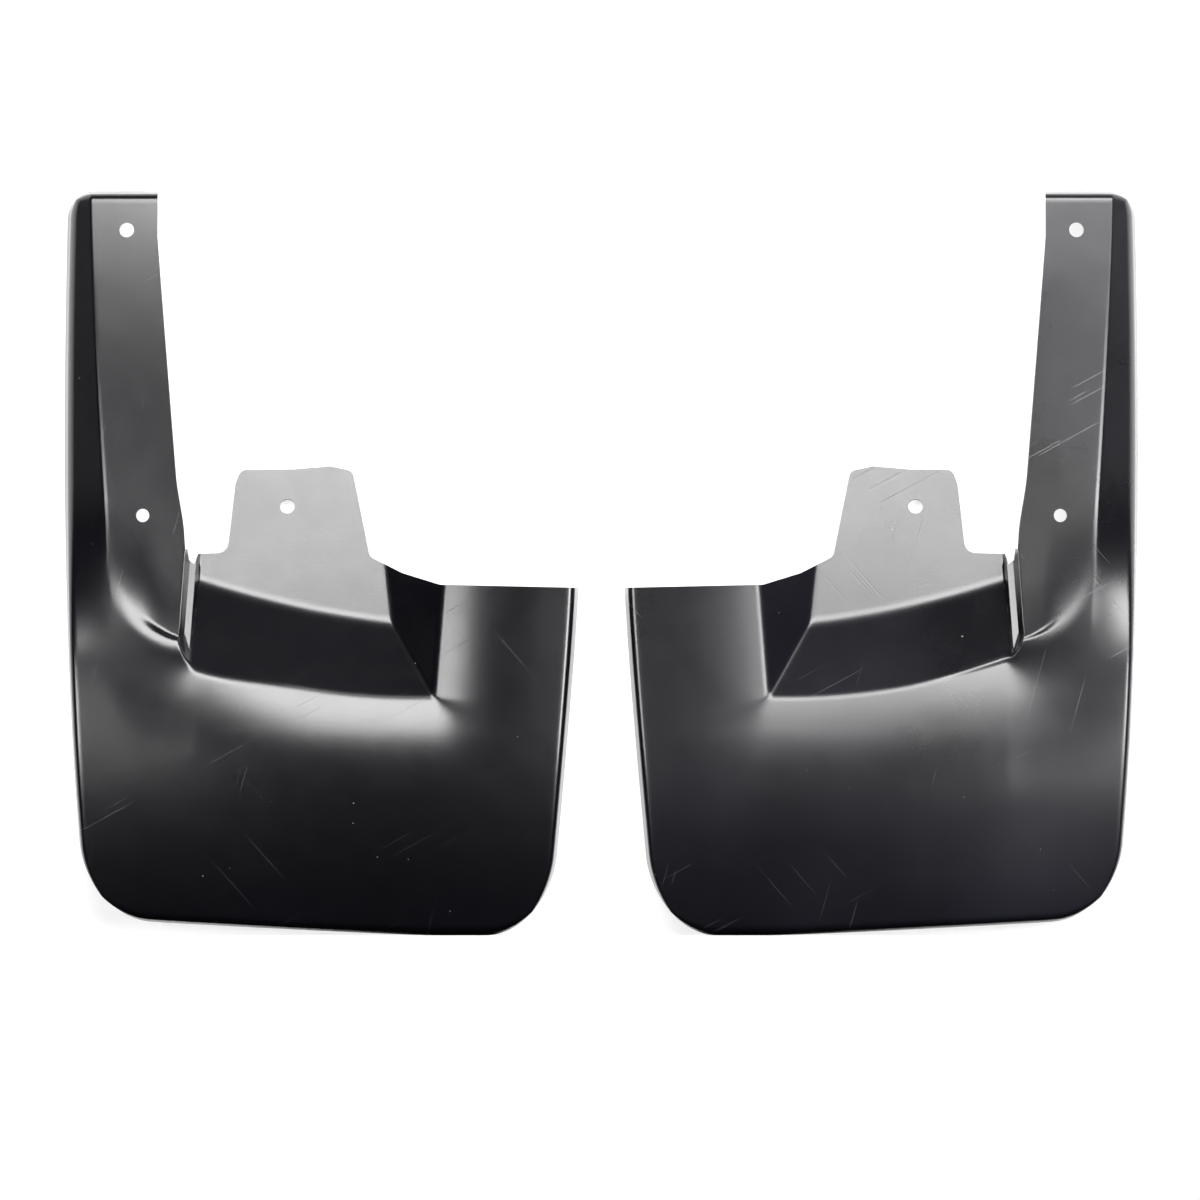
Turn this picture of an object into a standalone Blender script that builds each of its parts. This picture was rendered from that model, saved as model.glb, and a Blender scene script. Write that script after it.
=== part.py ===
"""A left and right pair of moulded mud flaps for a pickup, modelled upright as mounted.

Each flap is one moulding: a sheet formed over a mould, then trimmed and drilled. It is built the same
way: a grid is bent to the mould's surface, thickened, trimmed by a cutter and drilled.
Shape sizes are in millimetres: x runs in from the flap's outer edge, z up from its bottom edge and
d out from the plane of the rim towards the flap's face. Vertices are scaled to metres.
"""

import math

import bmesh
import bpy
from mathutils import Matrix, Vector

MM = 0.001

# Driving sizes
WIDTH = 313.0
HEIGHT = 453.0
SHEET = 3.0
HALF_GAP = 14.0
FACE_DEPTH = 50.0
MID_DEPTH = 17.65
RIM_PLANE = -6.0

# Main panel
CROWN_X = 10.0
CROWN_Z = 18.0
CROWN_MID_X = 160.0
CROWN_MID_Z = 125.0
CORNER_RADIUS = 50.0
ARM_CORNER_RADIUS = 17.0
SHOULDER_WIDTH = 65.0
SHOULDER_DROP = 10.0
SHOULDER_DROP_BY_ARM = 7.0
SHOULDER_EASE = (60.0, 150.0)

# Arm
ARM_TOP_WIDTH = 57.2
ARM_TAPER_TOP = 425.0
ARM_TAPER = 0.08
ARM_FLARE = 2.2
ARM_FLARE_TOP = 280.0
ARM_FLARE_HEIGHT = 35.0
ARM_TUCK = 0.15
ARM_FOOT_Z = 236.0
ARM_FLAT_WIDTH = 75.0
ARM_BEND_START = 235.0
ARM_BACK = 15.0
ARM_SET_BACK = 11.0
SET_BACK_FADE = (140.0, 265.0)
CHAMFER_SLOPE = 0.8
CHAMFER_FADE = (165.0, 285.0)

# Crescent step at the foot of the arm
STEP_CENTRE = (85.9, 230.6)
STEP_RADIUS = 53.3
STEP_ROUNDING = 9.0
STEP_RAMP = 30.0
STEP_OUTER_SHARE = 0.45

# Recess and tab
BOX_FLOOR_Z = 145.2
BACK_WALL_SLOPE = 0.69
SIDE_WALL_SLOPE = 1.06
TAB_LINE = (84.0, 221.0, -0.16)
TAB_DEPTH = 6.0
TAB_SLOPE = 0.2
TAB_RIGHT = 190.8
RECESS_LEFT = 71.0
RECESS_CORNER_X = 81.0
RECESS_RIGHT = 225.0

# Groove beside the arm: width of its wall, where its ledge ends, and the steepness of its far wall
GROOVE_WALL = 3.0
LEDGE_END = 6.8
FAR_WALL_SLOPE = 7.5

# Rim: distance in from the silhouette, and how far the bend lies behind the face there
RIM_BEND = ((0.0, None), (1.3, 6.5), (2.0, 3.0), (3.6, 0.8), (6.0, 0.0))

# Grid rows up the panel, rows below the recess's floor, and shares of the way up or across its walls
PANEL_ROWS = (22.0, 45.0, 70.0, 95.0)
SHOULDER_ROWS = (45.0, 32.0, 20.0, 9.0)
RECESS_SHARES = (0.0, 0.25, 0.5, 0.75, 1.0)
FIRST_RECESS_ROW = len(RIM_BEND) + len(PANEL_ROWS) + len(SHOULDER_ROWS)

# How far the formed sheet is kept before it is trimmed
GROOVE_SHEET_TOP = 230.0
TAB_SHEET_TOP = 290.0
PANEL_SHEET_TOP = 225.0

# Fixing holes: name, x, z, diameter
HOLES = (
    ("arm_upper", 38.6, 428.9, 9.0),
    ("arm_lower", 48.6, 255.4, 8.0),
    ("tab", 135.8, 261.2, 9.0),
)

PLASTIC_COLOUR = (0.012, 0.012, 0.014, 1.0)
PLASTIC_ROUGHNESS = 0.35


def ramp(value, start, end):
    """Eased step from 0 at start to 1 at end."""
    t = min(max((value - start) / (end - start), 0.0), 1.0)
    return t * t * (3.0 - 2.0 * t)


def arm_edge(z):
    """Trimmed edge of the arm on the recess side."""
    taper = ARM_TOP_WIDTH + ARM_TAPER * max(ARM_TAPER_TOP - z, 0.0)
    flare = ARM_FLARE * ramp(ARM_FLARE_TOP - z, 0.0, ARM_FLARE_HEIGHT)
    return taper + flare - ARM_TUCK * max(ARM_FOOT_Z - z, 0.0)


def box_floor(x):
    """Lower edge of the recess, where its back wall leaves the panel."""
    corner = 12.0 * min(max((RECESS_CORNER_X - x) / 10.0, 0.0), 1.0) ** 2
    return BOX_FLOOR_Z + 22.0 * ((215.0 - x) / 135.0) ** 2 + corner


def box_side(z):
    """Edge of the recess on the inner side, where its side wall leaves the panel."""
    return 225.5 + 5.5 * (z - BOX_FLOOR_Z) / 68.0


def tab_line(x):
    """Crease between the recess's back wall and the tab."""
    x0, z0, slope = TAB_LINE
    return z0 + slope * (x - x0)


def chamfer_crease(z):
    """Crease between the arm's face and the chamfer along its outer side."""
    return 16.7 + 8.0 * (max(448.0 - z, 0.0) / 172.0) ** 1.3


def panel_depth(x, z):
    """Crowned face with the arm's backward bend, the chamfer and the rolled shoulder by the recess."""
    d = FACE_DEPTH - crown(x)
    d -= CROWN_Z * (max(CROWN_MID_Z - z, 0.0) / CROWN_MID_Z) ** 2
    d -= ARM_BACK * (max(z - ARM_BEND_START, 0.0) / (HEIGHT - ARM_BEND_START)) ** 2
    d -= CHAMFER_SLOPE * ramp(z, *CHAMFER_FADE) * max(chamfer_crease(z) - x, 0.0)
    share = arm_share(x, z)
    return d - ARM_SET_BACK * share - shoulder_drop(x, z) * (1.0 - share)


def crown(x):
    """Fall of the face to either side of its middle, running out straight across the arm."""
    bend = max(x, ARM_FLAT_WIDTH) - CROWN_MID_X
    straight = max(ARM_FLAT_WIDTH - x, 0.0) * 2.0 * (CROWN_MID_X - ARM_FLAT_WIDTH)
    return CROWN_X * (bend * bend + straight) / CROWN_MID_X**2


def shoulder_drop(x, z):
    """Fall of the face towards the recess, all round its edge and less by the arm's foot."""
    if x < RECESS_CORNER_X:
        away = math.hypot(RECESS_CORNER_X - x, z - box_floor(RECESS_CORNER_X))
    else:
        beside = max(x - box_side(z), 0.0)
        below = max(box_floor(min(x, RECESS_RIGHT)) - z, 0.0)
        away = math.hypot(beside, below)
    full = SHOULDER_DROP_BY_ARM + (SHOULDER_DROP - SHOULDER_DROP_BY_ARM) * ramp(x, *SHOULDER_EASE)
    return full * max(1.0 - away / SHOULDER_WIDTH, 0.0) ** 2


def arm_share(x, z):
    """Share of the arm's set-back: 0 on the panel, 1 on the arm, with the crescent step between."""
    if x > 100.0:
        return 0.0
    centre_x, centre_z = STEP_CENTRE
    level = abs(centre_x - x) if z > centre_z else math.hypot(x - centre_x, z - centre_z)
    inside = STEP_RADIUS - level
    if inside < 0.0:
        across = STEP_OUTER_SHARE * max(1.0 + inside / STEP_ROUNDING, 0.0) ** 2
    else:
        across = 1.0 - (1.0 - STEP_OUTER_SHARE) * max(1.0 - inside / STEP_RAMP, 0.0) ** 2
    across *= 1.0 - ramp(x, 85.0, 100.0)
    along = ramp(z, *SET_BACK_FADE) * (1.0 - ramp(x, 74.0, 90.0))
    return 1.0 - (1.0 - across) * (1.0 - along)


def recess_depth(x, z):
    """Recess open at the top: back wall, side wall, groove beside the arm, and the tab's plane."""
    edge = FACE_DEPTH - SHOULDER_DROP - crown(x)
    back = edge - BACK_WALL_SLOPE * (z - box_floor(x))
    side = edge - SIDE_WALL_SLOPE * (box_side(z) - x)
    tab = TAB_DEPTH - TAB_SLOPE * (z - tab_line(TAB_RIGHT))
    ledge = 34.0 - 0.35 * (z - 177.0)
    a = arm_edge(z)
    arm_wall = max(panel_depth(a, z) - ledge, 0.0) * max(a + GROOVE_WALL - x, 0.0) / GROOVE_WALL
    groove = ledge + arm_wall - FAR_WALL_SLOPE * max(x - a - LEDGE_END, 0.0)
    return max(back, side, tab, groove)


def face_depth(x, z):
    """Depth of the moulding's face at any point, before the rim is bent back."""
    panel = panel_depth(x, z)
    in_box = arm_edge(z) < x < box_side(z) + 4.0 and z > box_floor(x) - 4.0
    return min(panel, recess_depth(x, z)) if in_box else panel


def edge_shift(x, z):
    """Moves a point of the upright rectangle so that its sides follow the flap's real outline."""
    outer = 0.3 + (8.5 * ((300.0 - z) / 242.0) ** 2 if z < 300.0 else 1.2 * ((z - 300.0) / 110.0) ** 2)
    inner = 12.2 * (max(211.0 - z, 0.0) / 153.0) ** 1.15
    bottom = 6.7 * (max(225.0 - x, 0.0) / 146.0) ** 1.2
    x_new = x + outer * max(1.0 - x / 60.0, 0.0) - inner * max((x - 235.0) / 78.0, 0.0)
    return x_new, z + bottom * max(1.0 - z / 120.0, 0.0)


def round_corner(x, z, corner_x, corner_z, radius):
    """Maps the square of that radius at a sharp corner onto a rounded one."""
    sx = 1.0 if corner_x == 0.0 else -1.0
    sz = 1.0 if corner_z == 0.0 else -1.0
    p = 1.0 - (x - corner_x) * sx / radius
    q = 1.0 - (z - corner_z) * sz / radius
    if p <= 0.0 or q <= 0.0:
        return x, z
    p, q = p * math.sqrt(1.0 - q * q / 2.0), q * math.sqrt(1.0 - p * p / 2.0)
    return corner_x + sx * radius * (1.0 - p), corner_z + sz * radius * (1.0 - q)


def columns():
    """Columns of the grid: each is a function of z, so that a column can follow a crease."""
    rim = [e for e, _ in RIM_BEND]
    fixed = rim + [13.0]
    lines = [lambda z, e=e: e for e in fixed]
    lines.append(chamfer_crease)
    for share in (0.33, 0.66, 0.92):
        lines.append(lambda z, s=share: chamfer_crease(z) + s * (arm_edge(z) - chamfer_crease(z)))
    for beyond in (0.0, GROOVE_WALL, LEDGE_END, 11.0):
        lines.append(lambda z, b=beyond: arm_edge(z) + b)
    lines += [lambda z, x=x: x for x in (100.0, 118.0, 136.0, 154.0, 172.0, TAB_RIGHT)]
    for share in RECESS_SHARES[1:]:
        lines.append(lambda z, s=share: TAB_RIGHT + s * (box_side(z) - TAB_RIGHT))
    lines += [lambda z, s=s: box_side(z) + s for s in (8.0, 17.0, 28.0)]
    lines += [lambda z, x=x: x for x in (278.0, 296.0)]
    lines += [lambda z, e=e: WIDTH - e for e in reversed(rim)]
    return lines


def rows():
    """Rows of the grid: each is a function of x. The recess's rows run from its floor to the tab line."""
    rim = [e for e, _ in RIM_BEND]
    lines = [lambda x, e=e: e for e in rim + list(PANEL_ROWS)]

    def floor(x):
        return box_floor(min(max(x, RECESS_LEFT), RECESS_RIGHT))

    def top(x):
        return tab_line(min(max(x, 78.0), TAB_RIGHT))

    lines += [lambda x, b=b: floor(x) - b for b in SHOULDER_ROWS]
    for share in RECESS_SHARES:
        lines.append(lambda x, s=share: floor(x) + s * (top(x) - floor(x)))
    lines += [lambda x, s=s: top(x) + s for s in (10.0, 24.0, 40.0)]
    lines += [lambda x, z=z: z for z in (272.0, 292.0, 318.0, 345.0, 370.0, 393.0, 415.0, 440.0)]
    lines += [lambda x, e=e: HEIGHT - e for e in reversed(rim)]
    return lines


def place(column, row):
    """Crossing of a column and a row, found by stepping from one to the other."""
    x = 150.0
    z = row(x)
    for _ in range(30):
        x = column(z)
        z = row(x)
    return x, z


def rim_depth(depth, inset):
    """Depth of the surface that bends back to the rim's plane over the last few millimetres."""
    if inset <= 0.0:
        return RIM_PLANE
    for (near, drop_near), (far, drop_far) in zip(RIM_BEND, RIM_BEND[1:]):
        if inset < far:
            t = (inset - near) / (far - near)
            start = depth - RIM_PLANE if drop_near is None else drop_near
            return depth - start + t * (start - drop_far)
    return depth


def mould_point(x, z):
    """Surface point for a point of the upright rectangle: outline, corners, face and rim."""
    inset = min(x, z, WIDTH - x, HEIGHT - z if x < 90.0 else HEIGHT)
    corner_x, corner_z = round_corner(x, z, 0.0, 0.0, CORNER_RADIUS)
    corner_x, corner_z = round_corner(corner_x, corner_z, WIDTH, 0.0, CORNER_RADIUS)
    corner_x, corner_z = round_corner(corner_x, corner_z, 0.0, HEIGHT, ARM_CORNER_RADIUS)
    px, pz = edge_shift(corner_x, corner_z)
    return px, pz, rim_depth(face_depth(px, pz), inset)


def world(side, x, z, d):
    """World place of a shape point; side is -1 for the left flap and 1 for the right."""
    return Vector((side * (HALF_GAP + WIDTH - x), MID_DEPTH - d, z)) * MM


def formed_sheet(name, side):
    """Grid bent to the mould's surface, kept only where the flap's sheet reaches."""
    cols = columns()
    lines = rows()
    bm = bmesh.new()
    bmesh.ops.create_grid(bm, x_segments=len(cols) - 1, y_segments=len(lines) - 1, size=0.5)
    bm.verts.ensure_lookup_table()
    spots = {}
    for v in bm.verts:
        i = round((v.co.x + 0.5) * (len(cols) - 1))
        j = round((v.co.y + 0.5) * (len(lines) - 1))
        spots[v] = (i, j)
        x, z = place(cols[i], lines[j])
        v.co = world(side, *mould_point(x, z))
    spare = []
    creased = []
    first_side = cols_index(cols, TAB_RIGHT)
    walls = len(RECESS_SHARES) - 1
    for f in bm.faces:
        i = min(spots[v][0] for v in f.verts)
        j = min(spots[v][1] for v in f.verts)
        if not sheet_reaches(i, j, cols, lines):
            spare.append(f)
        elif first_side <= i < first_side + walls and (i - first_side) + (j - FIRST_RECESS_ROW) == walls - 1:
            creased.append(f)
    for f in creased:
        corners = sorted(f.verts, key=lambda v: spots[v][0] - spots[v][1])
        bmesh.utils.face_split(f, corners[0], corners[-1])
    bmesh.ops.delete(bm, geom=spare, context="FACES")
    if side > 0:
        bmesh.ops.reverse_faces(bm, faces=bm.faces)
    mesh = bpy.data.meshes.new(name)
    bm.to_mesh(mesh)
    bm.free()
    return bpy.data.objects.new(name, mesh)


def cols_index(cols, x):
    """First column that runs at that x."""
    return min(range(len(cols)), key=lambda i: abs(cols[i](200.0) - x))


def sheet_reaches(i, j, cols, lines):
    """True for a cell on the arm, the panel, the recess or the tab, with a margin for the trim."""
    x = cols[i](230.0)
    z = lines[j](150.0)
    if x < RECESS_LEFT:
        return True
    if x < RECESS_CORNER_X + 2.0:
        return lines[j](x) < GROOVE_SHEET_TOP
    if x < TAB_RIGHT - 1.0:
        return z < TAB_SHEET_TOP
    return z < PANEL_SHEET_TOP


def fillet(points):
    """Outline points with arcs of the given radius at the corners that have one."""
    out = []
    for k, (x, z, radius) in enumerate(points):
        here = Vector((x, z))
        if radius == 0.0:
            out.append(here)
            continue
        before = Vector(points[k - 1][:2]) - here
        after = Vector(points[(k + 1) % len(points)][:2]) - here
        half = before.angle(after) / 2.0
        reach = min(radius / math.tan(half), before.length * 0.5, after.length * 0.5)
        start = here + before.normalized() * reach
        end = here + after.normalized() * reach
        for t in (0.0, 0.25, 0.5, 0.75, 1.0):
            out.append(start.lerp(here, t).lerp(here.lerp(end, t), t))
    return out


def trim_outline():
    """Closed outline of what is trimmed away: the gap beside the arm and all above the tab and panel."""
    arm = [(arm_edge(z) + 1.0, z, 0.0) for z in (ARM_TAPER_TOP, 290.0, 270.0, 250.0, ARM_FOOT_Z)]
    notch = [(76.4, 228.4, 0.0), (79.6, 225.8, 0.0), (81.8, 232.2, 0.0)]
    tab = [(99.5, 232.8, 8.0), (104.2, 275.0, 0.0), (107.5, 283.4, 5.0), (162.0, 285.6, 0.0), (175.5, 282.6, 5.0)]
    wall = [(186.0, 230.5, 6.0), (206.0, 220.5, 0.0), (229.0, 213.4, 8.0), (WIDTH + 12.0, 211.3, 0.0)]
    above = [(WIDTH + 12.0, HEIGHT + 20.0, 0.0), (ARM_TOP_WIDTH + 1.0, HEIGHT + 20.0, 0.0)]
    return fillet(arm + notch + tab + wall + above)


def trim_cutter(name, side):
    """Prism through the whole depth of the flap, from a filled and extruded outline."""
    curve = bpy.data.curves.new(name, "CURVE")
    curve.dimensions = "2D"
    curve.fill_mode = "BOTH"
    curve.extrude = 2.0 * FACE_DEPTH * MM
    outline = trim_outline()
    spline = curve.splines.new("POLY")
    spline.points.add(len(outline) - 1)
    for point, corner in zip(spline.points, outline):
        spot = world(side, corner.x, corner.y, 0.0)
        point.co = (spot.x, spot.z, 0.0, 1.0)
    spline.use_cyclic_u = True
    drawn = bpy.data.objects.new(name, curve)
    drawn.rotation_euler.x = math.pi / 2.0
    bpy.context.scene.collection.objects.link(drawn)
    return as_mesh(drawn)


def as_mesh(drawn):
    """Mesh object in place of a curve object, with the curve's caps welded on."""
    bpy.context.view_layer.update()
    evaluated = drawn.evaluated_get(bpy.context.evaluated_depsgraph_get())
    mesh = bpy.data.meshes.new_from_object(evaluated)
    bm = bmesh.new()
    bm.from_mesh(mesh)
    bmesh.ops.remove_doubles(bm, verts=bm.verts, dist=0.00001)
    bmesh.ops.recalc_face_normals(bm, faces=bm.faces)
    bm.to_mesh(mesh)
    bm.free()
    name = drawn.name
    solid = bpy.data.objects.new(name + "_solid", mesh)
    solid.matrix_world = drawn.matrix_world
    bpy.data.objects.remove(drawn)
    return solid


def hole_cutter(name, side, x, z, diameter):
    """Cylinder along the sheet's normal at that point."""
    here = world(side, x, z, face_depth(x, z))
    along = world(side, x + 1.0, z, face_depth(x + 1.0, z)) - here
    up = world(side, x, z + 1.0, face_depth(x, z + 1.0)) - here
    normal = along.cross(up).normalized()
    bm = bmesh.new()
    turn = Vector((0.0, 0.0, 1.0)).rotation_difference(normal).to_matrix().to_4x4()
    bmesh.ops.create_cone(
        bm,
        cap_ends=True,
        segments=24,
        radius1=diameter * MM / 2.0,
        radius2=diameter * MM / 2.0,
        depth=8.0 * SHEET * MM,
        matrix=Matrix.Translation(here) @ turn,
    )
    mesh = bpy.data.meshes.new(name)
    bm.to_mesh(mesh)
    bm.free()
    return bpy.data.objects.new(name, mesh)


def plastic(name):
    """Near-black satin moulded plastic."""
    material = bpy.data.materials.new(name)
    material.use_nodes = True
    shader = material.node_tree.nodes["Principled BSDF"]
    shader.inputs["Base Color"].default_value = PLASTIC_COLOUR
    shader.inputs["Roughness"].default_value = PLASTIC_ROUGHNESS
    shader.inputs["Metallic"].default_value = 0.0
    return material


def cut(flap, cutter, cutters):
    """Takes the cutter away from the flap with a Boolean modifier and files the cutter."""
    cutters.objects.link(cutter)
    cutter.hide_render = True
    cutter.display_type = "WIRE"
    boolean = flap.modifiers.new("Cut " + cutter.name, "BOOLEAN")
    boolean.operation = "DIFFERENCE"
    boolean.solver = "EXACT"
    boolean.object = cutter


def make_flap(name, side, parts, cutters):
    """One flap: formed, thickened, trimmed, drilled."""
    flap = formed_sheet(name, side)
    parts.objects.link(flap)
    flap.data.materials.append(plastic(name + "_plastic"))
    solidify = flap.modifiers.new("Sheet thickness", "SOLIDIFY")
    solidify.thickness = SHEET * MM
    solidify.offset = -1.0
    solidify.use_even_offset = True
    cut(flap, trim_cutter(name + "_trim", side), cutters)
    for hole, x, z, diameter in HOLES:
        cut(flap, hole_cutter(f"{name}_{hole}_hole", side, x, z, diameter), cutters)
    return flap


def main():
    for old in list(bpy.data.objects):
        bpy.data.objects.remove(old)
    parts = bpy.data.collections.new("mud_flap_pair")
    cutters = bpy.data.collections.new("cutters")
    bpy.context.scene.collection.children.link(parts)
    bpy.context.scene.collection.children.link(cutters)
    make_flap("left_mud_flap", -1, parts, cutters)
    make_flap("right_mud_flap", 1, parts, cutters)


main()
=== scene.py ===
"""Looks of the mud flap pair: finely moulded shells, worn black plastic, studio and camera."""

import math

import bmesh
import bpy
import numpy as np
from mathutils import Matrix, Vector

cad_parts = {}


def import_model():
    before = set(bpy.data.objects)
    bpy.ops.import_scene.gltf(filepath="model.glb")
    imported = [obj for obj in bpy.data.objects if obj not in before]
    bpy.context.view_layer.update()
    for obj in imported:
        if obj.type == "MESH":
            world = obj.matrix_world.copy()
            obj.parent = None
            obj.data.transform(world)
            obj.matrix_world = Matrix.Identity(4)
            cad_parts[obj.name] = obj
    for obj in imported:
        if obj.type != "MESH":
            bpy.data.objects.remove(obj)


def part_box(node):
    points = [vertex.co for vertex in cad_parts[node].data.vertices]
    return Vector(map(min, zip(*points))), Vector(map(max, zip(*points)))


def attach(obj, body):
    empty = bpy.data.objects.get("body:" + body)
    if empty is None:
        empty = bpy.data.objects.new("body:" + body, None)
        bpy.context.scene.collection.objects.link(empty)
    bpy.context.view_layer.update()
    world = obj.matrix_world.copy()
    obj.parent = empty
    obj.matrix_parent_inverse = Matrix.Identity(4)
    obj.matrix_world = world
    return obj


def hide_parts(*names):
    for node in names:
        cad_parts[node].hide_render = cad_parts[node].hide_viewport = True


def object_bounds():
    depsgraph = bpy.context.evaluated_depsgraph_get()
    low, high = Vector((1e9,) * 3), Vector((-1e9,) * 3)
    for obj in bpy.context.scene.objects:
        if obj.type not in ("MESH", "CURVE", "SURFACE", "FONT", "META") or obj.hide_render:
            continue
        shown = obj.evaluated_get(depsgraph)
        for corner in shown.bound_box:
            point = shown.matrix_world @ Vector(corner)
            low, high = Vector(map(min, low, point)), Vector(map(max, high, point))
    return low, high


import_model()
CAD_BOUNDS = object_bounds()

# The shape is worked out in units of a 453rd of the flap's height, which are millimetres at full size:
# x runs in from the outer edge, z up from the bottom edge, d out from the plane of the rim to the face.
HEIGHT = 453.0
WIDTH = 313.0
LEFT_LOW, LEFT_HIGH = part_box("left_mud_flap")
RIGHT_LOW, RIGHT_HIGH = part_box("right_mud_flap")
UNIT = (LEFT_HIGH[2] - LEFT_LOW[2]) / HEIGHT
SHEET = 3.0

# Depth of the foremost point, which lies on the CAD box's front, and of the rim's edge
FRONT_DEPTH = 48.71
RIM_PLANE = -6.0

# Crowned face: depth at its middle, fall to the sides and to the bottom, and where its middle is
CROWN_X = 10.0
CROWN_Z = 18.0
CROWN_MID_X = 160.0
CROWN_MID_Z = 125.0
FACE_DEPTH = 50.0

# Outline: corner radii, how far in the upright rectangle's outer side lies, and the places where
# its sides start to leave the rectangle
CORNER_RADIUS = 50.0
ARM_CORNER_RADIUS = 17.0
OUTER_INSET = 0.3
OUTER_SPLIT_Z = 300.0
INNER_TOP_Z = 211.0
BOTTOM_END_X = 225.0

# Rolled shoulder by the recess: its full fall, where that is reached going in from the arm, and on
# each side's flap its width and its fall by the arm
SHOULDER_DROP = 10.0
SHOULDER_EASE = (60.0, 150.0)
SHOULDER_WIDTH = {-1: 60.0, 1: 88.0}
SHOULDER_DROP_BY_ARM = {-1: 6.5, 1: 12.0}

# How far the top of the arm bends back on each side's flap
ARM_BACK = {-1: 15.0, 1: 9.0}

# Arm: its width at the top, its taper, flare and tuck going down, and how it lies behind the panel
ARM_TOP_WIDTH = 57.2
ARM_TAPER_TOP = 425.0
ARM_TAPER = 0.08
ARM_FLARE_TOP = 280.0
ARM_FLARE_HEIGHT = 35.0
ARM_FLARE = 2.2
ARM_TUCK = 0.15
ARM_FOOT_Z = 236.0
ARM_FLAT_WIDTH = 75.0
ARM_BEND_START = 235.0
ARM_SET_BACK = 11.0
SET_BACK_FADE = (140.0, 265.0)

# Chamfer along the arm's outer side: its slope, and the heights over which it fades in
CHAMFER_SLOPE = 0.8
CHAMFER_FADE = (165.0, 285.0)

# Crescent step where the arm meets the panel: rounded edge, riser, and ramp up to the arm's face
STEP_CENTRE = (85.9, 230.6)
STEP_RADIUS = 53.3
STEP_ROUNDING = 9.0
STEP_RISER = 1.8
STEP_RAMP = 30.0
STEP_ROUNDING_SHARE = 0.3
STEP_RISER_SHARE = 0.35

# Recess: its corners, the slopes of its walls, and the tab's crease (a point and a slope) and plane
RECESS_LEFT = 71.0
RECESS_CORNER_X = 81.0
RECESS_RIGHT = 225.0
BOX_FLOOR_Z = 145.2
BACK_WALL_SLOPE = 0.69
SIDE_WALL_SLOPE = 1.06
TAB_LINE = (84.0, 221.0, -0.16)
TAB_DEPTH = 6.0
TAB_SLOPE = 0.2
TAB_RIGHT = 190.8

# Groove beside the arm: width of its wall, its ledge's depth at a height, slope and end, and the
# slope of its far wall
GROOVE_WALL = 3.0
LEDGE_DEPTH = 34.0
LEDGE_Z = 177.0
LEDGE_SLOPE = 0.35
LEDGE_END = 6.8
FAR_WALL_SLOPE = 7.5

# How much more is trimmed off the tab beside the arm on each side's flap
TAB_CUT = {-1: 0.0, 1: 6.0}

# Holes: name, x, z, diameter
HOLES = (("arm_upper", 38.6, 428.9, 9.0), ("arm_lower", 48.6, 255.4, 8.0), ("tab", 135.8, 261.2, 9.0))

# Radius of the bend from the face into the rim, and how far in the rim's wall leans
BEND_RADIUS = 4.0
RIM_DRAFT = 2.0

# Rounds of easing for the inner side's normals
NORMAL_EASING = 14

# Colours of the plastic, of the haze and scratches on it, and of dust
DEEP_BLACK = (0.0007, 0.0007, 0.0014, 1.0)
HAZE_GREY = (0.004, 0.004, 0.007, 1.0)
SCRATCH_GREY = (0.03, 0.03, 0.034, 1.0)
DUST_GREY = (0.16, 0.16, 0.165, 1.0)

# Studio, in metres: room round the flaps, room in front, and gap to the floor and backdrop
STAGE_REACH = 3.0
FLOOR_FRONT = 1.0
STAGE_GAP = 0.0005
WORLD_FILL = 0.005

# Softboxes: name, place, the point aimed at, width, height, watts
MIDDLE = (0.0, 0.0, 0.2)
SOFTBOXES = (
    ("top_softbox", (0.45, -1.68, 1.29), (0.2, 0.0, 0.2), 2.4, 0.75, 120.0),
    ("left_softbox", (-1.08, -1.6, -0.05), MIDDLE, 0.76, 0.8, 40.0),
    ("right_softbox", (1.14, -1.6, -0.02), MIDDLE, 0.82, 0.86, 64.0),
    ("rear_top_softbox", (0.0, 1.5, 1.3), MIDDLE, 3.0, 0.8, 90.0),
    ("rear_left_softbox", (-1.5, 1.3, 0.4), MIDDLE, 0.8, 1.4, 45.0),
    ("rear_right_softbox", (1.5, 1.3, 0.4), MIDDLE, 0.8, 1.4, 45.0),
)

# Camera: how far away it stands, its place across and up, and the width it takes in
CAMERA_DISTANCE = 12.0
CAMERA_X = -0.0009
CAMERA_Z = 0.2041
FRAME_WIDTH = 0.729

# Spacing of the grid's lines: between the features, in the groove, and along the recess's creases
FINE = 2.2
GROOVE_SPACING = 0.9
CREASE_SPACING = 1.0


def clamp(value, low=0.0, high=1.0):
    return np.minimum(np.maximum(value, low), high)


def ramp(value, start, end):
    """Eased step from 0 at start to 1 at end."""
    t = clamp((value - start) / (end - start))
    return t * t * (3.0 - 2.0 * t)


def soft_max(a, b, width):
    """Further forward of two surfaces, with the crease between them rounded over about that width."""
    gap = clamp(0.5 + 0.5 * (a - b) / width)
    return b + (a - b) * gap + width * gap * (1.0 - gap)


def soft_min(a, b, width):
    """Further back of two surfaces, with the crease rounded."""
    return -soft_max(-a, -b, width)


def arm_edge(z):
    """Edge of the arm on the recess side."""
    taper = ARM_TOP_WIDTH + ARM_TAPER * np.maximum(ARM_TAPER_TOP - z, 0.0)
    flare = ARM_FLARE * ramp(ARM_FLARE_TOP - z, 0.0, ARM_FLARE_HEIGHT)
    return taper + flare - ARM_TUCK * np.maximum(ARM_FOOT_Z - z, 0.0)


def box_floor(x):
    """Lower edge of the recess, where its back wall leaves the panel."""
    bow = 22.0 * ((215.0 - x) / 135.0) ** 2
    return BOX_FLOOR_Z + bow + 12.0 * clamp((RECESS_CORNER_X - x) / 10.0) ** 2


def box_side(z):
    """Edge of the recess on the inner side, where its side wall leaves the panel."""
    return 225.5 + 5.5 * (z - BOX_FLOOR_Z) / 68.0


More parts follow.
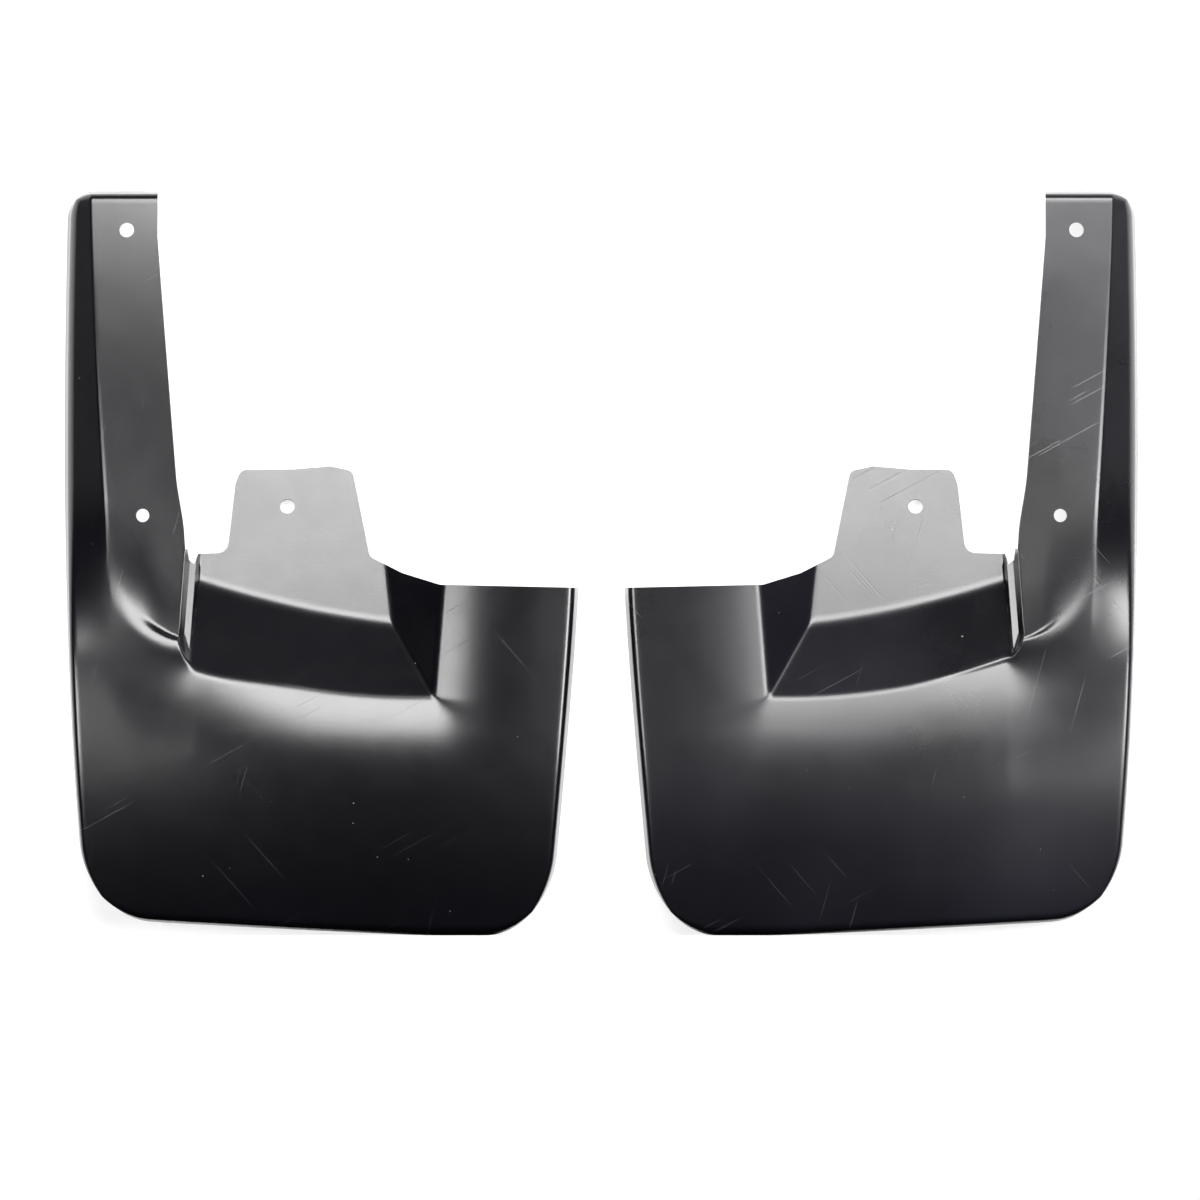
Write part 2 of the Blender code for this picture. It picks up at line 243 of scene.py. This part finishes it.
def tab_line(x):
    """Crease between the recess's back wall and the tab."""
    x0, z0, slope = TAB_LINE
    return z0 + slope * (x - x0)


def chamfer_crease(z):
    """Crease between the arm's face and the chamfer along its outer side."""
    return 16.7 + 8.0 * (clamp(448.0 - z, 0.0, 448.0) / 172.0) ** 1.3


def crown(x):
    """Fall of the face to either side of its middle, running out straight across the arm."""
    bend = np.maximum(x, ARM_FLAT_WIDTH) - CROWN_MID_X
    straight = np.maximum(ARM_FLAT_WIDTH - x, 0.0) * 2.0 * (CROWN_MID_X - ARM_FLAT_WIDTH)
    return CROWN_X * (bend * bend + straight) / CROWN_MID_X**2


def shoulder_drop(x, z, side):
    """Fall of the face towards the recess, all round its edge and less by the arm's foot."""
    corner_z = box_floor(RECESS_CORNER_X)
    from_corner = np.hypot(RECESS_CORNER_X - x, z - corner_z)
    beside = np.maximum(x - box_side(z), 0.0)
    below = np.maximum(box_floor(clamp(x, RECESS_CORNER_X, RECESS_RIGHT)) - z, 0.0)
    away = np.where(x < RECESS_CORNER_X, from_corner, np.hypot(beside, below))
    by_arm = SHOULDER_DROP_BY_ARM[side]
    full = by_arm + (SHOULDER_DROP - by_arm) * ramp(x, *SHOULDER_EASE)
    return full * clamp(1.0 - away / SHOULDER_WIDTH[side]) ** 2


def arm_share(x, z):
    """Share of the arm's set-back: 0 on the panel, 1 on the arm, with the crescent step between."""
    centre_x, centre_z = STEP_CENTRE
    level = np.where(z > centre_z, np.abs(centre_x - x), np.hypot(x - centre_x, z - centre_z))
    inside = STEP_RADIUS - level
    rounding = STEP_ROUNDING_SHARE * clamp(1.0 + inside / STEP_ROUNDING) ** 2
    riser = STEP_RISER_SHARE * ramp(x, 46.0, 60.0) * ramp(inside, 0.0, STEP_RISER)
    rest = 1.0 - clamp(1.0 - inside / STEP_RAMP) ** 2
    remainder = 1.0 - STEP_ROUNDING_SHARE - riser
    across = rounding + riser + remainder * np.where(inside > 0.0, rest, 0.0)
    across = across * (1.0 - ramp(x, 85.0, 100.0))
    along = ramp(z, *SET_BACK_FADE) * (1.0 - ramp(x, 74.0, 90.0))
    return np.where(x > 100.0, 0.0, 1.0 - (1.0 - across) * (1.0 - along))


def panel_depth(x, z, side):
    """Crowned face with the arm's backward bend, the chamfer and the rolled shoulder by the recess."""
    d = FACE_DEPTH - crown(x)
    d = d - CROWN_Z * (np.maximum(CROWN_MID_Z - z, 0.0) / CROWN_MID_Z) ** 2
    d = d - ARM_BACK[side] * (np.maximum(z - ARM_BEND_START, 0.0) / (HEIGHT - ARM_BEND_START)) ** 2
    d = d - CHAMFER_SLOPE * ramp(z, *CHAMFER_FADE) * soft_max(chamfer_crease(z) - x, 0.0 * x, 0.5)
    share = arm_share(x, z)
    return d - ARM_SET_BACK * share - shoulder_drop(x, z, side) * (1.0 - share)


def recess_depth(x, z, side):
    """Recess open at the top: back wall, side wall, groove beside the arm, and the tab's plane."""
    edge = FACE_DEPTH - SHOULDER_DROP - crown(x)
    back = edge - BACK_WALL_SLOPE * (z - box_floor(x))
    side_wall = edge - SIDE_WALL_SLOPE * (box_side(z) - x)
    tab = TAB_DEPTH - TAB_SLOPE * (z - tab_line(TAB_RIGHT))
    ledge = LEDGE_DEPTH - LEDGE_SLOPE * (z - LEDGE_Z)
    a = arm_edge(z)
    wall_height = np.maximum(panel_depth(a, z, side) - ledge, 0.0)
    arm_wall = wall_height * np.maximum(a + GROOVE_WALL - x, 0.0) / GROOVE_WALL
    groove = ledge + arm_wall - FAR_WALL_SLOPE * np.maximum(x - a - LEDGE_END, 0.0)
    walls = soft_max(soft_max(back, side_wall, 1.4), tab, 1.6)
    return soft_max(walls, groove, 0.5)


def face_depth(x, z, side):
    """Depth of the moulding's face at any point, before the rim is bent back."""
    panel = panel_depth(x, z, side)
    in_box = (x > arm_edge(z) - 0.1) & (x < box_side(z) + 8.0) & (z > box_floor(x) - 8.0)
    beside_arm = (x < TAB_LINE[0] - 1.0) & (z > ARM_FOOT_Z)
    return np.where(in_box & ~beside_arm, soft_min(panel, recess_depth(x, z, side), 1.0), panel)


def edge_shift(x, z):
    """Moves points of the upright rectangle so that its sides follow the flap's real outline."""
    below_split = 8.5 * ((OUTER_SPLIT_Z - z) / 242.0) ** 2
    above_split = 1.2 * ((z - OUTER_SPLIT_Z) / 110.0) ** 2
    outer = OUTER_INSET + np.where(z < OUTER_SPLIT_Z, below_split, above_split)
    inner = 12.2 * (np.maximum(INNER_TOP_Z - z, 0.0) / 153.0) ** 1.15
    bottom = 6.7 * (np.maximum(BOTTOM_END_X - x, 0.0) / 146.0) ** 1.2
    x_new = x + outer * np.maximum(1.0 - x / 60.0, 0.0) - inner * np.maximum((x - 235.0) / 78.0, 0.0)
    return x_new, z + bottom * np.maximum(1.0 - z / 120.0, 0.0)


def round_corner(x, z, corner_x, corner_z, radius):
    """Maps the square of that radius at a sharp corner onto a rounded one."""
    sx = 1.0 if corner_x == 0.0 else -1.0
    sz = 1.0 if corner_z == 0.0 else -1.0
    p = 1.0 - (x - corner_x) * sx / radius
    q = 1.0 - (z - corner_z) * sz / radius
    near = (p > 0.0) & (q > 0.0)
    p_safe = np.where(near, p, 0.0)
    q_safe = np.where(near, q, 0.0)
    p_round = p_safe * np.sqrt(1.0 - q_safe**2 / 2.0)
    q_round = q_safe * np.sqrt(1.0 - p_safe**2 / 2.0)
    x_new = np.where(near, corner_x + sx * radius * (1.0 - p_round), x)
    z_new = np.where(near, corner_z + sz * radius * (1.0 - q_round), z)
    return x_new, z_new


def rim_depth(depth, inset):
    """Depth of the surface that bends back to the rim's plane over the last few millimetres."""
    bend = clamp(1.0 - (inset - RIM_DRAFT) / BEND_RADIUS)
    turned = depth - BEND_RADIUS * (1.0 - np.sqrt(np.maximum(1.0 - bend * bend, 0.0)))
    wall = clamp(inset / RIM_DRAFT)
    return np.where(inset < RIM_DRAFT, RIM_PLANE + (turned - RIM_PLANE) * wall, turned)


def between(lines, spacing):
    """Lines with even steps added between each pair, no wider than the spacing at their widest."""
    out = []
    for here, after in zip(lines, lines[1:]):
        widest = max(float(np.max(after(at) - here(at))) for at in (0.0, 120.0, 200.0, 300.0, 440.0))
        steps = max(1, math.ceil(widest / spacing))
        for step in range(steps):
            share = step / steps
            out.append(lambda v, a=here, b=after, s=share: a(v) + s * (b(v) - a(v)))
    out.append(lines[-1])
    return out


def steady(value):
    """Line that stays at one place."""
    return lambda v: value + 0.0 * v


def rim_lines(sign, start):
    """Lines across the rim's wall and its bend, from the silhouette inwards."""
    insets = [0.0, 0.7, 1.4, RIM_DRAFT]
    turns = 6
    insets += [RIM_DRAFT + BEND_RADIUS * (1.0 - math.cos(math.pi / 2.0 * k / turns)) for k in range(1, turns)]
    insets += [RIM_DRAFT + BEND_RADIUS]
    return [steady(start + sign * inset) for inset in insets]


def columns():
    """Columns of the grid: each is a function of z, so that a column can follow a crease."""
    left = rim_lines(1.0, 0.0)
    right = rim_lines(-1.0, WIDTH)[::-1]
    middle = [left[-1], chamfer_crease, lambda z: arm_edge(z) - 1.5]
    wall = (-1.5, -0.6, 0.0, GROOVE_WALL, GROOVE_WALL + 0.6)
    ledge = (LEDGE_END - 0.6, LEDGE_END + 0.6, LEDGE_END + 3.4, LEDGE_END + 5.2)
    groove = [lambda z, b=b: arm_edge(z) + b for b in wall + ledge]
    box = [groove[-1], steady(TAB_RIGHT), lambda z: box_side(z) - 2.0]
    shoulder = [box[-1], lambda z: box_side(z) + 2.0, steady(262.0), right[0]]
    lines = left[:-1] + between(middle, FINE)[:-1] + between(groove, GROOVE_SPACING)[:-1]
    return lines + between(box, FINE)[:-1] + between(shoulder, FINE)[:-1] + right


def rows():
    """Rows of the grid: each is a function of x, and they follow the recess's floor and the tab line."""

    def floor(x):
        return box_floor(clamp(x, RECESS_LEFT, RECESS_RIGHT + 0.5))

    def top(x):
        return tab_line(clamp(x, 78.0, TAB_RIGHT))

    low = rim_lines(1.0, 0.0)
    high = rim_lines(-1.0, HEIGHT)[::-1]
    panel = [low[-1], lambda x: floor(x) - 3.0]
    edge = [panel[-1], lambda x: floor(x) + 3.0]
    wall = [edge[-1], lambda x: top(x) - 2.0]
    crease = [wall[-1], lambda x: top(x) + 2.0]
    arm = [crease[-1], steady(300.0), high[0]]
    lines = low[:-1] + between(panel, FINE)[:-1] + between(edge, CREASE_SPACING)[:-1]
    lines += between(wall, FINE)[:-1] + between(crease, CREASE_SPACING)[:-1]
    return lines + between(arm, FINE)[:-1] + high


def grid_places(cols, lines):
    """Crossings of all columns and rows, found by stepping from one to the other."""
    x = np.full((len(cols), len(lines)), 150.0)
    z = np.stack([line(x[:, j]) for j, line in enumerate(lines)], axis=1)
    for _ in range(12):
        x = np.stack([col(z[i]) for i, col in enumerate(cols)], axis=0)
        z = np.stack([line(x[:, j]) for j, line in enumerate(lines)], axis=1)
    return x, z


def mould_surface(x, z, side):
    """Surface points for points of the upright rectangle: outline, corners, face and rim."""
    from_top = np.where(x < 90.0, HEIGHT - z, HEIGHT)
    inset = np.minimum(np.minimum(x, z), np.minimum(WIDTH - x, from_top))
    for corner in ((0.0, 0.0, CORNER_RADIUS), (WIDTH, 0.0, CORNER_RADIUS), (0.0, HEIGHT, ARM_CORNER_RADIUS)):
        x, z = round_corner(x, z, *corner)
    x, z = edge_shift(x, z)
    return x, z, rim_depth(face_depth(x, z, side), inset)


def world(side, x, z, d):
    """World place of shape points; side is -1 for the left flap and 1 for the right."""
    outer = LEFT_LOW[0] if side < 0 else RIGHT_HIGH[0]
    place_x = outer - side * (x - OUTER_INSET) * UNIT
    place_y = LEFT_LOW[1] + (FRONT_DEPTH - d) * UNIT
    return np.stack([place_x, place_y, LEFT_LOW[2] + z * UNIT], axis=-1)


def eased_normals(points, side):
    """Unit normals of the grid, eased over a few cells so that the inner side has no folds."""
    along = np.gradient(points, axis=0)
    up = np.gradient(points, axis=1)
    normals = np.cross(along, up) * -side
    normals /= np.linalg.norm(normals, axis=-1, keepdims=True)
    for _ in range(NORMAL_EASING):
        for axis in (0, 1):
            rolled = np.moveaxis(normals, axis, 0)
            ahead = np.concatenate([rolled[1:], rolled[-1:]])
            behind = np.concatenate([rolled[:1], rolled[:-1]])
            normals = np.moveaxis((ahead + behind + 2.0 * rolled) / 4.0, 0, axis)
    return normals / np.linalg.norm(normals, axis=-1, keepdims=True)


def formed_sheet(name, side):
    """Closed sheet of the moulding: its outer side, its inner side and the edge between them."""
    x, z = grid_places(columns(), rows())
    outer = world(side, *mould_surface(x, z, side))
    inner = outer - SHEET * UNIT * eased_normals(outer, side)
    keep = sheet_reaches(x, z)
    cells = keep[:-1, :-1] & keep[1:, :-1] & keep[:-1, 1:] & keep[1:, 1:]
    across, up = x.shape
    index = np.arange(across * up).reshape(across, up)
    quads = np.stack([index[:-1, :-1], index[1:, :-1], index[1:, 1:], index[:-1, 1:]], axis=-1)[cells]
    if side > 0:
        quads = quads[:, ::-1]
    forward = np.concatenate([quads[:, [k, (k + 1) % 4]] for k in range(4)])
    codes = forward[:, 0] * index.size + forward[:, 1]
    open_edges = forward[~np.isin(codes, forward[:, 1] * index.size + forward[:, 0])]
    rim = np.stack([open_edges[:, 1], open_edges[:, 0]], axis=1)
    rim = np.concatenate([rim, rim[:, ::-1] + index.size], axis=1)
    faces = np.concatenate([quads, quads[:, ::-1] + index.size, rim])
    used, packed = np.unique(faces, return_inverse=True)
    places = np.concatenate([outer.reshape(-1, 3), inner.reshape(-1, 3)])[used]
    mesh = bpy.data.meshes.new(name)
    mesh.from_pydata(places.tolist(), [], packed.reshape(faces.shape).tolist())
    flap = bpy.data.objects.new(name, mesh)
    bpy.context.scene.collection.objects.link(flap)
    return flap


def sheet_reaches(x, z):
    """True on the arm, the panel, the recess or the tab, with a margin for the trim."""
    arm = x < arm_edge(z) + 0.01
    groove = (x < 84.0) & (z < ARM_FOOT_Z)
    tab = (x > 80.0) & (x < TAB_RIGHT + 1.0) & (z < 292.0)
    return arm | groove | tab | (z < 232.0)


def fillet(points, steps=8):
    """Outline points with arcs at the corners that have a radius."""
    out = []
    for k, (x, z, radius) in enumerate(points):
        here = Vector((x, z))
        if radius == 0.0:
            out.append(here)
            continue
        before = Vector(points[k - 1][:2]) - here
        after = Vector(points[(k + 1) % len(points)][:2]) - here
        half = before.angle(after) / 2.0
        reach = min(radius / math.tan(half), before.length * 0.5, after.length * 0.5)
        start = here + before.normalized() * reach
        end = here + after.normalized() * reach
        for step in range(steps + 1):
            t = step / steps
            out.append(start.lerp(here, t).lerp(here.lerp(end, t), t))
    return out


def trim_outline(side):
    """Closed outline of what is trimmed away: the gap beside the arm and all above the tab and panel."""
    heights = (ARM_TAPER_TOP, 340.0, 290.0, 270.0, 250.0, ARM_FOOT_Z)
    arm = [(float(arm_edge(z)) + 1.0, z, 0.0) for z in heights]
    notch = [(76.4, 228.4, 0.0), (79.6, 225.8, 0.0), (81.8, 232.2, 0.0)]
    cut = TAB_CUT[side]
    tab = [(99.5 + cut, 232.8, 8.0), (104.2 + cut, 275.0, 0.0), (107.5 + cut, 283.4, 5.0)]
    tab += [(140.0, 283.7, 0.0), (162.0, 285.6, 0.0), (175.5, 282.6, 5.0)]
    wall = [(186.0, 230.5, 6.0), (206.0, 220.5, 0.0), (229.0, 213.4, 8.0), (WIDTH + 12.0, 211.3, 0.0)]
    above = [(WIDTH + 12.0, HEIGHT + 20.0, 0.0), (ARM_TOP_WIDTH + 1.0, HEIGHT + 20.0, 0.0)]
    return fillet(arm + notch + tab + wall + above)


def prism(name, side, outline):
    """Closed prism of an outline, right through the depth of the flap."""
    bm = bmesh.new()
    rings = []
    for d in (2.0 * FACE_DEPTH, -FACE_DEPTH):
        rings.append([bm.verts.new(world(side, np.float64(p.x), np.float64(p.y), d)) for p in outline])
    bm.faces.new(rings[0])
    bm.faces.new(rings[1][::-1])
    for k in range(len(outline)):
        after = (k + 1) % len(outline)
        bm.faces.new((rings[0][k], rings[1][k], rings[1][after], rings[0][after]))
    bmesh.ops.recalc_face_normals(bm, faces=bm.faces)
    mesh = bpy.data.meshes.new(name)
    bm.to_mesh(mesh)
    bm.free()
    return bpy.data.objects.new(name, mesh)


def hole_cutter(name, side, x, z, diameter):
    """Cylinder along the sheet's normal at that point."""

    def spot(px, pz):
        px, pz = np.float64(px), np.float64(pz)
        return Vector(world(side, px, pz, face_depth(px, pz, side)))

    here = spot(x, z)
    normal = (spot(x + 1.0, z) - here).cross(spot(x, z + 1.0) - here).normalized()
    turn = Vector((0.0, 0.0, 1.0)).rotation_difference(normal).to_matrix().to_4x4()
    bm = bmesh.new()
    bmesh.ops.create_cone(
        bm,
        cap_ends=True,
        segments=48,
        radius1=diameter * UNIT / 2.0,
        radius2=diameter * UNIT / 2.0,
        depth=8.0 * SHEET * UNIT,
        matrix=Matrix.Translation(here) @ turn,
    )
    mesh = bpy.data.meshes.new(name)
    bm.to_mesh(mesh)
    bm.free()
    return bpy.data.objects.new(name, mesh)


def apply_modifiers(piece):
    """Bakes the piece's modifiers into its mesh."""
    bpy.context.view_layer.update()
    evaluated = piece.evaluated_get(bpy.context.evaluated_depsgraph_get())
    mesh = bpy.data.meshes.new_from_object(evaluated)
    piece.modifiers.clear()
    piece.data = mesh


def make_flap(name, node, body, side, material):
    """One flap: formed, thickened, trimmed and drilled, in place of the CAD node."""
    flap = formed_sheet(name, side)
    cutters = [prism(name + "_trim", side, trim_outline(side))]
    cutters += [hole_cutter(f"{name}_{hole}", side, x, z, size) for hole, x, z, size in HOLES]
    for cutter in cutters:
        bpy.context.scene.collection.objects.link(cutter)
        boolean = flap.modifiers.new("Cut " + cutter.name, "BOOLEAN")
        boolean.operation = "DIFFERENCE"
        boolean.solver = "EXACT"
        boolean.object = cutter
    apply_modifiers(flap)
    for cutter in cutters:
        bpy.data.objects.remove(cutter)
    flap.data.materials.clear()
    flap.data.materials.append(material)
    flap.data.polygons.foreach_set("use_smooth", [True] * len(flap.data.polygons))
    flap.data.set_sharp_from_angle(angle=math.radians(38.0))
    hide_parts(node)
    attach(flap, body)
    return flap


def add(tree, kind, inputs=None, **settings):
    """New node with its settings and inputs; an input is a number, a vector or another node's output."""
    node = tree.nodes.new("ShaderNode" + kind)
    for key, value in settings.items():
        setattr(node, key, value)
    for key, value in (inputs or {}).items():
        if isinstance(value, bpy.types.NodeSocket):
            tree.links.new(value, node.inputs[key])
        else:
            node.inputs[key].default_value = value
    return node


def noise(tree, place, scale, detail=2.0, roughness=0.5):
    """Smooth random pattern between 0 and 1."""
    inputs = {"Vector": place, "Scale": scale, "Detail": detail, "Roughness": roughness}
    return add(tree, "TexNoise", inputs).outputs["Fac"]


def band(tree, value, low, high, top=1.0):
    """Value stretched so that low gives 0 and high gives top."""
    inputs = {"Value": value, "From Min": low, "From Max": high, "To Max": top}
    return add(tree, "MapRange", inputs, clamp=True).outputs["Result"]


def product(tree, a, b):
    return add(tree, "Math", {0: a, 1: b}, operation="MULTIPLY").outputs[0]


def total(tree, a, b):
    return add(tree, "Math", {0: a, 1: b}, operation="ADD").outputs[0]


def mixed_colour(tree, share, first, second):
    """First colour where the share is 0, second where it is 1."""
    return add(tree, "Mix", {0: share, 6: first, 7: second}, data_type="RGBA").outputs[2]


def scratches(tree, place, angle, fineness, rarity):
    """Thin lines along one direction across the face, broken into short lengths."""
    turned = add(tree, "Mapping", {"Vector": place, "Rotation": (0.0, angle, 0.0)})
    stretched = add(tree, "Mapping", {"Vector": turned.outputs[0], "Scale": (9.0, 9.0, fineness)})
    lines = band(tree, noise(tree, stretched.outputs[0], 1.0, 0.0), rarity, rarity + 0.03)
    lengths = band(tree, noise(tree, place, 16.0 + 5.0 * angle, 1.0), 0.55, 0.65)
    return product(tree, lines, lengths)


def dust(tree, place, scale, size, share):
    """Scattered specks: small discs round some of a cell pattern's centres."""
    cells = add(tree, "TexVoronoi", {"Vector": place, "Scale": scale})
    near = band(tree, cells.outputs["Distance"], size, size * 0.5)
    parts = add(tree, "SeparateColor", {"Color": cells.outputs["Color"]})
    chosen = band(tree, parts.outputs[0], 1.0 - share, 1.0 - share + 0.01)
    return product(tree, near, chosen)


def black_plastic(name, haze_share, scratch_share, gloss):
    """Satin black moulded plastic with grain, handling haze, fine scratches and dust."""
    material = bpy.data.materials.new(name)
    material.use_nodes = True
    tree = material.node_tree
    shader = tree.nodes["Principled BSDF"]
    shader.inputs["Specular IOR Level"].default_value = 0.5
    place = add(tree, "TexCoord").outputs["Object"]

    haze = band(tree, noise(tree, place, 6.0, 2.0), 0.35, 0.8, haze_share)
    mottle = noise(tree, place, 70.0, 3.0)
    marks = total(
        tree,
        scratches(tree, place, 0.5, 700.0, 0.76),
        total(tree, scratches(tree, place, -0.85, 600.0, 0.77), scratches(tree, place, 1.3, 650.0, 0.77)),
    )
    marks = product(tree, marks, scratch_share)
    specks = total(tree, dust(tree, place, 120.0, 0.05, 0.1), dust(tree, place, 45.0, 0.03, 0.16))

    hazy = mixed_colour(tree, haze, DEEP_BLACK, HAZE_GREY)
    marked = mixed_colour(tree, band(tree, marks, 0.0, 1.0, 0.6), hazy, SCRATCH_GREY)
    tree.links.new(mixed_colour(tree, specks, marked, DUST_GREY), shader.inputs["Base Color"])

    satin = total(tree, band(tree, mottle, 0.3, 0.7, 0.02), gloss)
    worn = total(tree, satin, product(tree, haze, 0.08))
    rough = total(tree, worn, product(tree, marks, 0.06))
    tree.links.new(total(tree, rough, product(tree, specks, 0.3)), shader.inputs["Roughness"])

    wave = {"Height": noise(tree, place, 17.0, 1.0), "Strength": 0.2, "Distance": 0.0012}
    grain = {"Height": noise(tree, place, 900.0, 2.0), "Strength": 0.12, "Distance": 0.0002}
    grain["Normal"] = add(tree, "Bump", wave).outputs[0]
    scratch = {"Height": marks, "Strength": 0.2, "Distance": 0.0002}
    scratch["Normal"] = add(tree, "Bump", grain).outputs[0]
    tree.links.new(add(tree, "Bump", scratch, invert=True).outputs[0], shader.inputs["Normal"])
    return material


def softbox(name, place, target, width, height, power):
    """Large rectangular studio light aimed at a point."""
    light = bpy.data.lights.new(name, "AREA")
    light.shape = "RECTANGLE"
    light.size = width
    light.size_y = height
    light.energy = power
    lamp = bpy.data.objects.new(name, light)
    lamp.location = place
    lamp.rotation_euler = (Vector(target) - Vector(place)).to_track_quat("-Z", "Y").to_euler()
    bpy.context.scene.collection.objects.link(lamp)
    return lamp


def light_path_mix(tree, seen, unseen):
    """Mixes two shaders: the first for what the camera sees itself, the second for reflections."""
    path = tree.nodes.new("ShaderNodeLightPath")
    mix = tree.nodes.new("ShaderNodeMixShader")
    tree.links.new(path.outputs["Is Camera Ray"], mix.inputs["Fac"])
    tree.links.new(unseen, mix.inputs[1])
    tree.links.new(seen, mix.inputs[2])
    return mix.outputs[0]


def white_world():
    """White behind everything, and only a faint fill in reflections."""
    world_shader = bpy.data.worlds.new("studio")
    bpy.context.scene.world = world_shader
    world_shader.use_nodes = True
    tree = world_shader.node_tree
    seen = tree.nodes["Background"]
    seen.inputs["Color"].default_value = (1.0, 1.0, 1.0, 1.0)
    seen.inputs["Strength"].default_value = 1.0
    fill = tree.nodes.new("ShaderNodeBackground")
    fill.inputs["Color"].default_value = (1.0, 1.0, 1.0, 1.0)
    fill.inputs["Strength"].default_value = WORLD_FILL
    mixed = light_path_mix(tree, seen.outputs[0], fill.outputs[0])
    tree.links.new(mixed, tree.nodes["World Output"].inputs["Surface"])


def plane(name, corners, material):
    """Flat four-cornered sheet of the stage."""
    mesh = bpy.data.meshes.new(name)
    mesh.from_pydata(corners, [], [(0, 1, 2, 3)])
    mesh.materials.append(material)
    sheet = bpy.data.objects.new(name, mesh)
    bpy.context.scene.collection.objects.link(sheet)
    return sheet


def floor_material():
    """Pale floor that glows enough to stay white, and is dull in reflections."""
    material = bpy.data.materials.new("studio_floor")
    material.use_nodes = True
    tree = material.node_tree
    shader = tree.nodes["Principled BSDF"]
    shader.inputs["Base Color"].default_value = (0.86, 0.86, 0.86, 1.0)
    shader.inputs["Roughness"].default_value = 0.9
    shader.inputs["Emission Color"].default_value = (1.0, 1.0, 1.0, 1.0)
    shader.inputs["Emission Strength"].default_value = 0.75
    dull = tree.nodes.new("ShaderNodeBsdfDiffuse")
    dull.inputs["Color"].default_value = (0.01, 0.01, 0.01, 1.0)
    mixed = light_path_mix(tree, shader.outputs[0], dull.outputs[0])
    tree.links.new(mixed, tree.nodes["Material Output"].inputs["Surface"])
    return material


def backdrop_material():
    """White sheet behind the flaps that is clear from behind."""
    material = bpy.data.materials.new("studio_backdrop")
    material.use_nodes = True
    tree = material.node_tree
    shader = tree.nodes["Principled BSDF"]
    shader.inputs["Base Color"].default_value = (0.4, 0.4, 0.4, 1.0)
    shader.inputs["Roughness"].default_value = 0.9
    shader.inputs["Emission Color"].default_value = (1.0, 1.0, 1.0, 1.0)
    shader.inputs["Emission Strength"].default_value = 0.7
    shader.inputs["Specular IOR Level"].default_value = 0.0
    clear = tree.nodes.new("ShaderNodeBsdfTransparent")
    geometry = tree.nodes.new("ShaderNodeNewGeometry")
    mix = tree.nodes.new("ShaderNodeMixShader")
    tree.links.new(geometry.outputs["Backfacing"], mix.inputs["Fac"])
    tree.links.new(shader.outputs[0], mix.inputs[1])
    tree.links.new(clear.outputs[0], mix.inputs[2])
    tree.links.new(mix.outputs[0], tree.nodes["Material Output"].inputs["Surface"])
    return material


def stage_sheets():
    """Floor under the flaps and a white backdrop just behind them."""
    low, high = CAD_BOUNDS
    floor_z = low[2] - STAGE_GAP
    back_y = high[1] + STAGE_GAP
    front = [(-STAGE_REACH, -FLOOR_FRONT, floor_z), (STAGE_REACH, -FLOOR_FRONT, floor_z)]
    foot = [(-STAGE_REACH, back_y, floor_z), (STAGE_REACH, back_y, floor_z)]
    top = [(STAGE_REACH, back_y, STAGE_REACH), (-STAGE_REACH, back_y, STAGE_REACH)]
    plane("floor", front + foot[::-1], floor_material())
    backdrop = plane("backdrop", foot + top, backdrop_material())
    backdrop.visible_shadow = False


def studio():
    """White surroundings with softboxes above, to both sides and behind."""
    bpy.context.scene.view_settings.view_transform = "Standard"
    white_world()
    stage_sheets()
    for box in SOFTBOXES:
        softbox(*box)


def camera():
    """Straight-on view of the pair, from far enough away to flatten the perspective."""
    lens = bpy.data.cameras.new("camera")
    lens.sensor_width = 36.0
    lens.lens = lens.sensor_width * CAMERA_DISTANCE / FRAME_WIDTH
    lens.clip_end = 50.0
    view = bpy.data.objects.new("camera", lens)
    view.location = (CAMERA_X, -CAMERA_DISTANCE, CAMERA_Z)
    view.rotation_euler = (math.pi / 2.0, 0.0, 0.0)
    bpy.context.scene.collection.objects.link(view)
    bpy.context.scene.camera = view


def main():
    glossier = black_plastic("left_flap_plastic", 0.25, 0.35, 0.235)
    hazier = black_plastic("right_flap_plastic", 1.0, 0.7, 0.25)
    make_flap("left_flap_shell", "left_mud_flap", "left_flap", -1, glossier)
    make_flap("right_flap_shell", "right_mud_flap", "right_flap", 1, hazier)
    studio()
    camera()


main()
